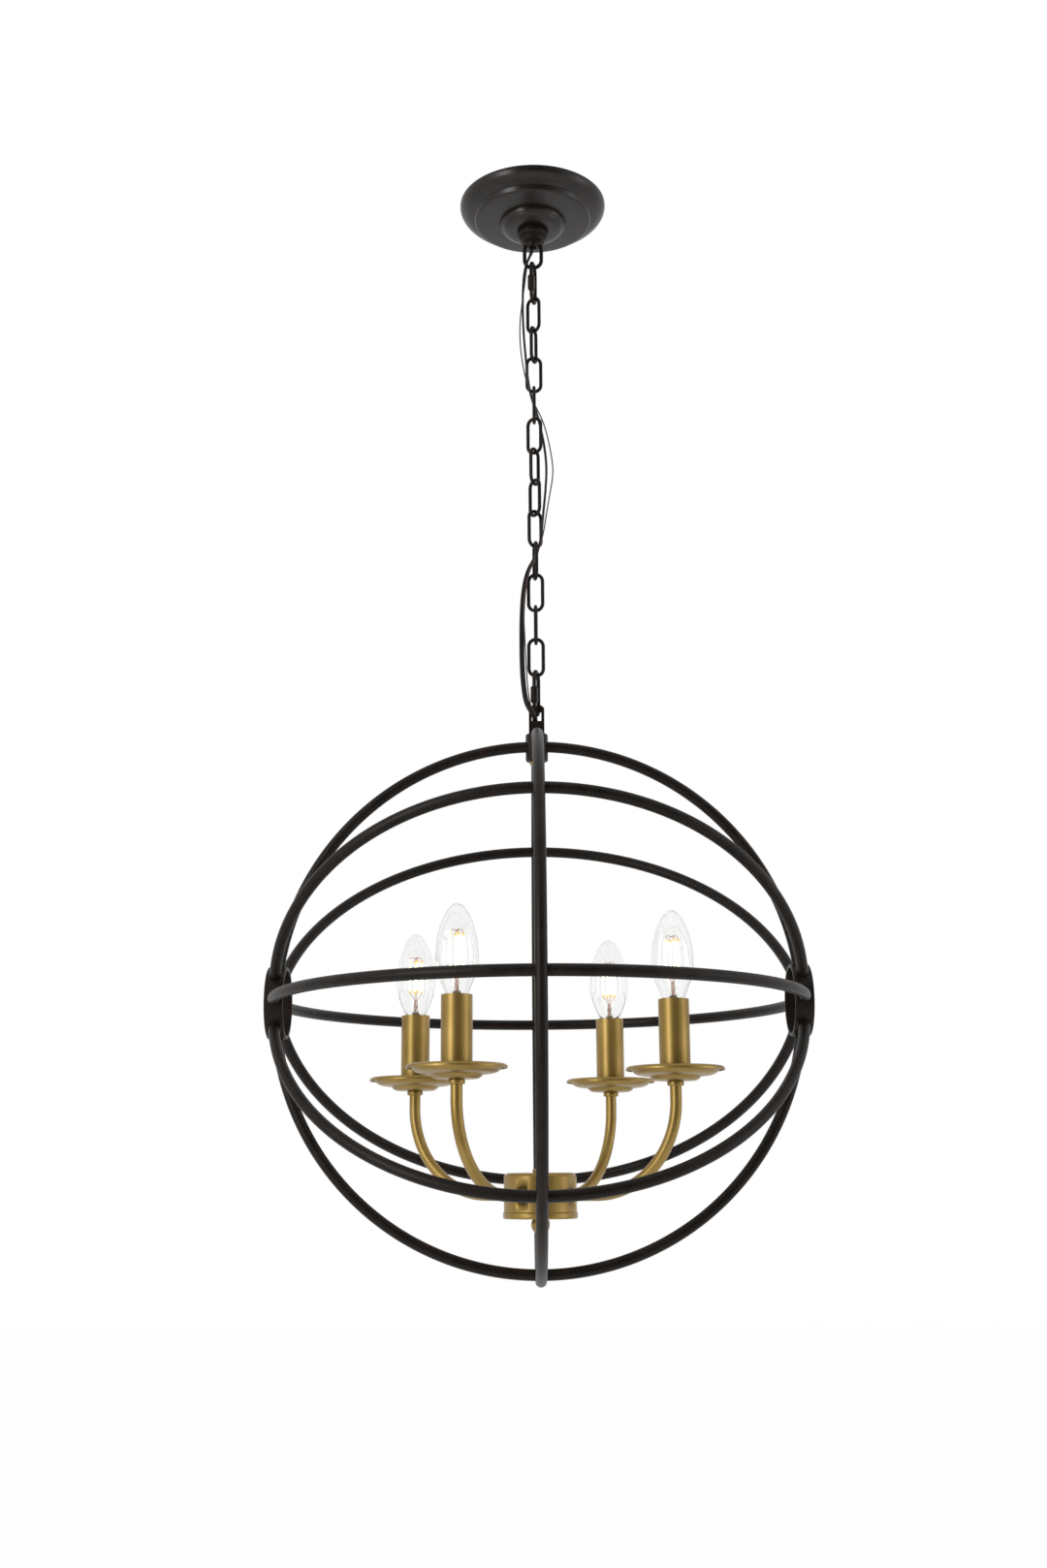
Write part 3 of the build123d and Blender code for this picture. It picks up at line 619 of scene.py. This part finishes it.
for name, node, radius, start, sweep, lean in hoop_plan:
    way = (0.0, -math.pi / 2, 0.0) if lean is None else (math.radians(lean), 0.0, 0.0)
    hoop = grown(name, hoops, {
        "Radius": radius * mm, "Rod": rod_dia * mm, "Start": start, "Sweep": sweep, "Lean": way,
        "Centre": (0.0, 0.0, orb_z * mm), "Steps": 2 + round(steps_per_radian * sweep), "Material": bronze,
    })
    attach(hoop, "cage")
    if node:
        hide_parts(node)

# Stem: one slim tube from the collar down through the cup to the finial, with a round nut under the
# collar and one on the cup. Antique gold lacquer with fine metal flake, sprayed satin.


def gold_lacquer(name, spun_line=None):
    """Antique gold: soft clouds of tone 30 mm wide, 0.7 mm flake in the gloss, and spun rings if asked."""
    material, tree = new_material(name)
    tone, flake = noise(tree, 30 * mm, 3.0), noise(tree, 0.7 * mm, 2.0)
    grain = flake
    if spun_line:
        rings = noise(tree, spun_line, 2.0, stretch=(0.02, 0.02, 1.0))
        grain = add(tree, "ShaderNodeMath", {0: rings, 1: flake}, operation="ADD").outputs[0]
    relief = add(tree, "ShaderNodeBump", {"Height": grain, "Strength": 0.012, "Distance": 0.12 * mm})
    coat_with(tree, {
        "Base Color": ramp(tree, tone, "#8b7135", "#987d41", (0.35, 0.68)),
        "Roughness": spread(tree, flake, 0.40, 0.46), "Normal": relief.outputs["Normal"], "Metallic": 0.9,
        "Coat Weight": 0.3, "Coat Roughness": 0.3,
    })
    return material


gold = gold_lacquer("antique_gold_lacquer")
spun_gold = gold_lacquer("spun_antique_gold", 1.4 * mm)
cup_top = orb_z - 142.0
cap_bottom = cup_top - 37.0
stem_bore, stem_r, stem_end = 2.5, 3.5, cap_bottom - 7.0
stem = turned(
    "stem_tube",
    [(stem_bore, collar_seat), (stem_r, collar_seat), (stem_r, stem_end), (stem_bore, stem_end)],
    gold, segments=32,
)
nut_bore, nut_r, nut_height = 3.6, 6.3, 3.2
nut_outline = rounded([(nut_bore, 0.0), (nut_r, 0.0), (nut_r, nut_height), (nut_bore, nut_height)], 0.9)
stem_nuts = {
    place: turned(
        f"stem_nut_{place}_round", nut_outline, gold, Matrix.Translation((0, 0, low * mm)), segments=48,
    )
    for place, low in (("top", collar_bottom - nut_height), ("bottom", cup_top))
}

# Cluster cup: a deep-drawn cup with a rounded top edge and four side holes for the arms, closed by
# a lipped cap that the ball finial clamps up. All spun, polished and lacquered gold.
cup_r, cup_wall, cup_bottom = 30.25, 1.5, cup_top - 31.5
stem_hole, cup_flat_r, cup_round = 3.7, 26.6, 3.6
cup_outline = (
    [(stem_hole, cup_top - cup_wall), (stem_hole, cup_top), (cup_flat_r, cup_top)]
    + hermite((cup_flat_r, cup_top), (cup_r, cup_top - cup_round), (1, 0), (0, -1), 8)[1:]
    + [(cup_r, cup_bottom), (cup_r - cup_wall, cup_bottom)]
    + hermite(
        (cup_r - cup_wall, cup_top - cup_round), (cup_flat_r, cup_top - cup_wall), (0, 1), (-1, 0), 8,
    )
)
cup = turned("cluster_cup_shell", cup_outline, spun_gold, segments=128)
arm_z = cup_top - 18.0
arm_count, arm_first, arm_r, arm_hole_r = 4, -31.0, 4.75, 5.45
drills = bmesh.new()
for number in range(arm_count):
    way = Matrix.Rotation(math.radians(arm_first - 360 / arm_count * number), 4, "Z")
    bmesh.ops.create_cone(
        drills, cap_ends=True, segments=40, radius1=arm_hole_r * mm, radius2=arm_hole_r * mm, depth=12 * mm,
        matrix=way @ Matrix.Translation((cup_r * mm, 0, arm_z * mm)) @ Matrix.Rotation(math.pi / 2, 4, "Y"),
    )
drill = finish_mesh(drills, "arm_hole_drills", spun_gold)
cut = cup.modifiers.new("arm_holes", "BOOLEAN")
cut.operation, cut.solver, cut.object = "DIFFERENCE", "EXACT", drill
bpy.context.view_layer.update()
cup.data = bpy.data.meshes.new_from_object(cup.evaluated_get(bpy.context.evaluated_depsgraph_get()))
cup.modifiers.clear()
bpy.data.objects.remove(drill)
cap_r, cap_plate = 31.0, 1.5
spigot_r, spigot_bore, spigot_top = 28.6, 27.1, cup_bottom + 4.0
cap = turned(
    "cup_cap_plate",
    [(stem_hole, cap_bottom), (29.6, cap_bottom)]
    + hermite((29.6, cap_bottom), (cap_r, cap_bottom + 1.4), (1, 0), (0, 1), 5)[1:]
    + hermite((cap_r, cup_bottom - 1.0), (30.0, cup_bottom), (0, 1), (-1, 0), 5)
    + [(spigot_r, cup_bottom), (spigot_r, spigot_top), (spigot_bore, spigot_top),
       (spigot_bore, cap_bottom + cap_plate), (stem_hole, cap_bottom + cap_plate)],
    spun_gold, segments=128,
)
ball_z, ball_r, ball_sunk, ball_steps = cap_bottom - 4.8, 7.8, 4.8, 24
ball = [(0.0, cap_bottom), (math.sqrt(ball_r**2 - ball_sunk**2), cap_bottom)]
seat_angle = math.asin(ball_sunk / ball_r)
for step in range(1, ball_steps + 1):
    angle = seat_angle - (seat_angle + math.pi / 2) * step / ball_steps
    ball.append((ball_r * math.cos(angle), ball_z + ball_r * math.sin(angle)))
finial = turned("ball_finial", ball, gold, segments=64, closed=False)
for piece, node in (
    (stem, "stem"), (stem_nuts["top"], "stem_nut_top"), (stem_nuts["bottom"], "stem_nut_bottom"),
    (cup, "cluster_cup"), (cap, "cup_cap"), (finial, "finial"),
):
    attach(piece, "cage")
    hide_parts(node)

# Candle arms: bent steel tube, level out of the cup and up to each candle, with a check ring, a
# spun drip pan and a candle sleeve threaded on the upright end. Gold lacquer all over.
arm_reach, arm_bend = 127.0, 74.0
pan_z, pan_bottom = orb_z - 68.3, orb_z - 70.7
sleeve_bottom, sleeve_top = pan_bottom + 1.0, pan_z + 63.0
candles = range(1, arm_count + 1)
round_stem, entry, out = geometry_tree("four_round_the_stem", [
    ("Count", "Int"), ("First", "Float"), ("Material", "Material"),
])
spots = add(round_stem, "GeometryNodeMeshLine", {"Count": entry["Count"], "Offset": (0, 0, 0)})
spot_number = add(round_stem, "GeometryNodeInputIndex")
step_angle = add(round_stem, "ShaderNodeMath", {0: -2 * math.pi, 1: entry["Count"]}, operation="DIVIDE")
turn = add(round_stem, "ShaderNodeMath", {
    0: spot_number.outputs[0], 1: step_angle.outputs[0], 2: entry["First"],
}, operation="MULTIPLY_ADD")
turn_way = add(round_stem, "ShaderNodeCombineXYZ", {"Z": turn.outputs[0]})
set_round = add(round_stem, "GeometryNodeInstanceOnPoints", {
    "Points": spots.outputs["Mesh"], "Instance": entry["Geometry"], "Rotation": turn_way.outputs["Vector"],
})
close_tree(round_stem, entry, out, set_round.outputs["Instances"], smooth=False)


def four(name, pattern, material, nodes):
    """Four of a piece made at the first arm's place along +X, one for each arm."""
    carrier = pattern.data
    bpy.data.objects.remove(pattern)
    piece = grown(name, round_stem, {
        "Count": arm_count, "First": math.radians(arm_first), "Material": material,
    }, carrier)
    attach(piece, "cage")
    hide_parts(*nodes)


arm_inner, arm_level, bend_steps = 24.0, 38.0, 36
arm_path = [(arm_inner, 0.0, arm_z), (arm_level, 0.0, arm_z)]
for step in range(bend_steps + 1):
    angle = math.radians(90 / bend_steps * step)
    arm_path.append((
        arm_reach - arm_bend + arm_bend * math.sin(angle), 0.0,
        arm_z + arm_bend - arm_bend * math.cos(angle),
    ))
arm_path.append((arm_reach, 0.0, pan_z + 7.0))
arm = tube("arm_pattern", [tuple(v * mm for v in point) for point in arm_path], arm_r * mm, gold, sides=32)
four("candle_arms", arm, gold, [f"arm_{n}" for n in candles])
at_candle = Matrix.Translation((arm_reach * mm, 0, 0))
arm_fit, check_r, check_bottom, groove_r = 4.9, 6.8, pan_bottom - 4.0, 5.9
ring_pattern = turned(
    "ring_pattern",
    rounded([(arm_fit, check_bottom), (6.2, check_bottom), (check_r, pan_bottom - 3.4),
             (check_r, pan_bottom - 0.7), (groove_r, pan_bottom - 0.6), (groove_r, pan_bottom),
             (arm_fit, pan_bottom)], 0.25, 3),
    gold, at_candle, segments=48,
)
four("candle_check_rings", ring_pattern, gold, ["check_rings"])
pan_r, pan_sheet = 39.0, 1.0


def pan_side(lift):
    """Underside of the drip pan from its hole to its lip, or its upper side when lifted by the sheet."""
    foot, knee, brim = (15.4, pan_bottom + lift), (20.8, pan_z + 1.0 + lift), (35.0, pan_z + 5.6 + lift)
    crest, lip = (36.4, pan_z + 8.0 + lift), (pan_r + lift, pan_z + 6.6)
    return (
        [(arm_fit, pan_bottom + lift)]
        + hermite(foot, knee, (1, 0), (0.6, 1), 10)
        + hermite(knee, brim, (1, 0.12), (0.6, 1), 16)[1:]
        + hermite(crest, lip, (1, 0.1), (0, -1), 12)
        + [(pan_r + lift, pan_z + 5.8)]
    )


pan_pattern = turned("pan_pattern", pan_side(0) + pan_side(pan_sheet)[::-1], gold, at_candle, segments=112)
four("drip_pans", pan_pattern, gold, [f"drip_pan_{n}" for n in candles])
sleeve_bore, sleeve_r = 11.7, 12.5
sleeve_pattern = turned(
    "sleeve_pattern",
    rounded([(sleeve_bore, sleeve_bottom), (sleeve_r, sleeve_bottom), (sleeve_r, sleeve_top),
             (sleeve_bore, sleeve_top)], 0.3, 3),
    gold, at_candle, segments=80,
)
four("candle_sleeves", sleeve_pattern, gold, [f"candle_sleeve_{n}" for n in candles])

# Sockets: moulded black phenolic lamp holders screwed on the arms inside the sleeves; only their
# dark top edge shows round the bulb's neck.
phenolic = mottled(
    "black_phenolic_moulding", 0.8 * mm, 2.0, ("#0f0e0e", "#1c1a19"), {"IOR": 1.6}, (0.4, 0.6),
)
paint_node("sockets", phenolic)

# Bulbs: clear blown candle envelopes on nickel screw shells. Inside, a glass stem with copper leads
# carries four phosphor-coated filament rods, lit white with yellow ends.
glass = mottled("clear_blown_glass", 20 * mm, 1.0, ("#f6f7f6", "#fdfdfd"), {
    "Roughness": 0.0, "IOR": 1.47, "Transmission Weight": 1.0,
})
nickel = mottled(
    "nickel_plated_brass_shell", 3 * mm, 3.0, ("#a39c8c", "#cfc9bb"), {"Metallic": 1.0}, (0.2, 0.38),
)
lead = mottled("copper_lead_wire", 1.5 * mm, 2.0, ("#8a5236", "#c98a66"), {
    "Metallic": 1.0, "Roughness": 0.3,
})

filament_low, filament_high, filament_ring, filament_r = sleeve_top + 20.0, sleeve_top + 49.0, 5.2, 0.8
amber, yellow, white_hot = linear("#e08a1c"), linear("#ffc23a"), linear("#fff3d0")
glow_strength, end_level, near_end_level = 3.0, 0.22, 0.32
glow, tree = new_material("lit_phosphor_rod")
rod_height = add(tree, "ShaderNodeSeparateXYZ", {
    "Vector": add(tree, "ShaderNodeTexCoord").outputs["Object"],
})
along_rod = add(tree, "ShaderNodeMapRange", {
    "Value": rod_height.outputs["Z"], "From Min": filament_low * mm, "From Max": filament_high * mm,
})


def rod_ramp(end, marks):
    """A ramp along the rod with one colour at both ends and others at marks between 0 and 1."""
    node = add(tree, "ShaderNodeValToRGB", {"Fac": along_rod.outputs["Result"]})
    stops = node.color_ramp.elements
    stops[0].color = stops[1].color = end
    for position, colour in marks:
        stops.new(position).color = colour
    return node.outputs["Color"]


def grey(level):
    """A level as a colour."""
    return (level, level, level, 1)


rod_tint = rod_ramp(amber, ((0.05, yellow), (0.12, white_hot), (0.88, white_hot), (0.95, yellow)))
rod_level = rod_ramp(grey(end_level), (
    (0.06, grey(near_end_level)), (0.14, grey(1.0)), (0.86, grey(1.0)), (0.94, grey(near_end_level)),
))
strength = add(tree, "ShaderNodeMath", {0: rod_level, 1: glow_strength}, operation="MULTIPLY")
coat_with(tree, {
    "Base Color": rod_tint, "Roughness": 0.5, "Emission Color": rod_tint,
    "Emission Strength": strength.outputs[0],
})

bulb_foot, neck_r, belly_r, belly_height, tip_height = sleeve_top - 5.0, 7.5, 17.5, 27.5, 73.4
glass_wall, taper, crown_steps = 0.5, 1.15, 72


def bulb_side(inset):
    """The envelope's wall from neck to tip, or its inside when moved in by the glass."""
    neck, belly = (neck_r - inset, bulb_foot), (belly_r - inset, sleeve_top + belly_height)
    crown = tip_height - belly_height - inset
    round_over = [math.pi / 2 * step / crown_steps for step in range(1, crown_steps + 1)]
    return hermite(neck, belly, (0.18, 1), (0, 1), 56) + [
        (belly[0] * math.cos(angle) ** taper, belly[1] + crown * math.sin(angle)) for angle in round_over
    ]


envelope_outline = bulb_side(0) + bulb_side(glass_wall)[::-1]
root_r, crest_r, screw_pitch, screw_turns = 5.3, 5.9, 2.2, 6
base_tip, base_top = sleeve_top - 26.0, sleeve_top - 5.05
screw_outline = [(0.0, base_tip), (3.0, base_tip), (4.2, sleeve_top - 24.6)]
for screw_turn in range(screw_turns):
    crest = sleeve_top - 23.4 + screw_pitch * screw_turn
    screw_outline += hermite((root_r, crest - 0.9), (crest_r, crest), (1, 0.4), (0, 1), 3)
    screw_outline += hermite((crest_r, crest), (root_r, crest + 0.9), (0, 1), (-1, 0.4), 3)[1:]
screw_outline += [(crest_r, sleeve_top - 8.0), (7.4, sleeve_top - 5.7), (7.4, base_top), (0.0, base_top)]
mount_outline = [
    (0.0, bulb_foot), (5.4, bulb_foot), (4.6, sleeve_top - 1.0), (2.6, sleeve_top + 3.0),
    (1.9, sleeve_top + 8.0), (1.7, sleeve_top + 13.0), (0.9, sleeve_top + 14.0), (0.0, sleeve_top + 14.2),
]
lead_r = 0.22
lead_lines = {
    "low": [(0.7, 0, sleeve_top + 2.0), (0.9, 0, sleeve_top + 13.0), (2.6, 0, sleeve_top + 16.5),
            (filament_ring, 0, filament_low)],
    "high": [(filament_ring, 0, filament_high), (4.8, 0, filament_high + 2.2), (2.6, 0, filament_high + 3.0),
             (0.3, 0, filament_high + 1.4)],
}
rod_turns = [Matrix.Rotation(math.radians(45 + 90 * side), 4, "Z") for side in range(4)]
at_rod = Matrix.Translation((filament_ring * mm, 0, (filament_low + filament_high) / 2 * mm))
for number in candles:
    angle = math.radians(arm_first - 360 / arm_count * (number - 1))
    put = Matrix.Rotation(angle, 4, "Z") @ at_candle
    envelope = turned(f"candle_bulb_{number}", envelope_outline, glass, put, segments=144)
    shell = turned(f"bulb_screw_shell_{number}", screw_outline, nickel, put, segments=40, closed=False)
    rods = bmesh.new()
    for rod_turn in rod_turns:
        bmesh.ops.create_cone(
            rods, cap_ends=True, segments=14, radius1=filament_r * mm, radius2=filament_r * mm,
            depth=(filament_high - filament_low) * mm, matrix=put @ rod_turn @ at_rod,
        )
    rod_piece = finish_mesh(rods, f"filament_rods_{number}", glow)
    mount = turned(f"filament_mount_{number}", mount_outline, glass, put, segments=24, closed=False)
    wires = []
    for side, rod_turn in enumerate(rod_turns):
        for place, line in lead_lines.items():
            points = [put @ rod_turn @ Vector([v * mm for v in point]) for point in line]
            wires.append(tube(f"lead_{place}_{number}_{side}", points, lead_r * mm, lead, sides=8))
    whole = bmesh.new()
    for wire in wires:
        whole.from_mesh(wire.data)
        bpy.data.objects.remove(wire)
    leads = finish_mesh(whole, f"filament_leads_{number}", lead, sharp=60)
    for piece, slot in (
        (envelope, "clear_glass"), (shell, "base_metal"), (rod_piece, "filament"), (mount, "filament"),
        (leads, "filament"),
    ):
        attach(piece, f"bulb_{number}")
    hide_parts(f"bulb_glass_{number}")
    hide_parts(f"bulb_base_{number}")
    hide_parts(f"bulb_filament_{number}")

# Stage: a pale studio floor at room depth, white surroundings, a soft box on each side, and a grey
# card behind the camera that shows only as a reflection. The camera stands as in the photograph, a
# little below the orb.
plain_white = (1, 1, 1, 1)


def plain_sight(tree):
    """1 for a ray from the camera, through glass or off a shiny surface, and 0 for any other."""
    path = add(tree, "ShaderNodeLightPath").outputs
    clear = add(tree, "ShaderNodeMath", {
        0: path["Is Camera Ray"], 1: path["Is Transmission Ray"],
    }, operation="MAXIMUM")
    return add(tree, "ShaderNodeMath", {
        0: clear.outputs[0], 1: path["Is Glossy Ray"],
    }, operation="MAXIMUM").outputs[0]


def stage_face(name, corners, material):
    """One flat face of the stage."""
    mesh = bpy.data.meshes.new(name)
    mesh.from_pydata(corners, [], [(0, 1, 2, 3)])
    mesh.materials.append(material)
    face = bpy.data.objects.new(name, mesh)
    bpy.context.scene.collection.objects.link(face)
    return face


floor_half, floor_z, floor_lift = 12.0, -2.0, 0.4
floor_paint = mottled("pale_floor_paint", 0.25, 2.0, ("#f0f0f0", "#f6f6f6"), {
    "Roughness": 0.7, "Emission Color": plain_white,
})
tree = floor_paint.node_tree
lift = add(tree, "ShaderNodeMath", {0: plain_sight(tree), 1: floor_lift}, operation="MULTIPLY")
tree.links.new(lift.outputs[0], tree.nodes["Principled BSDF"].inputs["Emission Strength"])
floor = stage_face("studio_floor", [
    (-floor_half, -floor_half, floor_z), (floor_half, -floor_half, floor_z),
    (floor_half, floor_half, floor_z), (-floor_half, floor_half, floor_z),
], floor_paint)

card_half, card_y, card_low, card_high = 2.6, -3.0, -2.0, 1.9
card_paint = mottled("grey_card_paint", 1 / 6, 2.0, ("#868686", "#8e8e8e"), {"Roughness": 0.9})
card = stage_face("grey_studio_card", [
    (-card_half, card_y, card_low), (card_half, card_y, card_low), (card_half, card_y, card_high),
    (-card_half, card_y, card_high),
], card_paint)
card.visible_camera = card.visible_transmission = False
card.visible_diffuse = card.visible_shadow = False

world = bpy.data.worlds.new("white_studio")
bpy.context.scene.world = world
world.use_nodes = True
tree = world.node_tree
tree.nodes.clear()
room_light = add(tree, "ShaderNodeBackground", {"Color": plain_white, "Strength": 0.6})
backdrop = add(tree, "ShaderNodeBackground", {"Color": plain_white, "Strength": 1.0})
around = add(tree, "ShaderNodeMixShader", {
    0: plain_sight(tree), 1: room_light.outputs[0], 2: backdrop.outputs[0],
})
add(tree, "ShaderNodeOutputWorld", {"Surface": around.outputs[0]})

lamps_aim = Vector((0, 0, -0.7))
for name, spot, width, tall, watts in (
    ("left_soft_box", (-1.24, -1.375, -0.45), 0.5, 1.5, 18),
    ("right_soft_box", (1.9, -0.5, -0.6), 0.6, 1.5, 6),
):
    lamp = bpy.data.lights.new(name, "AREA")
    lamp.shape = "RECTANGLE"
    lamp.size, lamp.size_y = width, tall
    lamp.energy = watts
    holder = bpy.data.objects.new(name, lamp)
    holder.location = spot
    holder.rotation_euler = (lamps_aim - Vector(spot)).to_track_quat("-Z", "Y").to_euler()
    bpy.context.scene.collection.objects.link(holder)

camera = bpy.data.cameras.new("photo_camera")
focal_px, frame_tall = 1737.46, 1618
camera.lens = camera.sensor_width * focal_px / frame_tall
camera.clip_start, camera.clip_end = 0.05, 60
eye_point = bpy.data.objects.new("photo_camera", camera)
camera_at, pitch, roll = (-0.0119, -1.4378, -0.9034), 0.23087, -0.006
ahead = Vector((0, math.cos(pitch), math.sin(pitch)))
level, above = Vector((1, 0, 0)), Vector((0, -math.sin(pitch), math.cos(pitch)))
right = level * math.cos(roll) + above * math.sin(roll)
up = above * math.cos(roll) - level * math.sin(roll)
stand = Matrix((right, up, -ahead)).transposed().to_4x4()
stand.translation = camera_at
eye_point.matrix_world = stand
bpy.context.scene.collection.objects.link(eye_point)
bpy.context.scene.camera = eye_point
bpy.context.scene.view_settings.view_transform = "Standard"
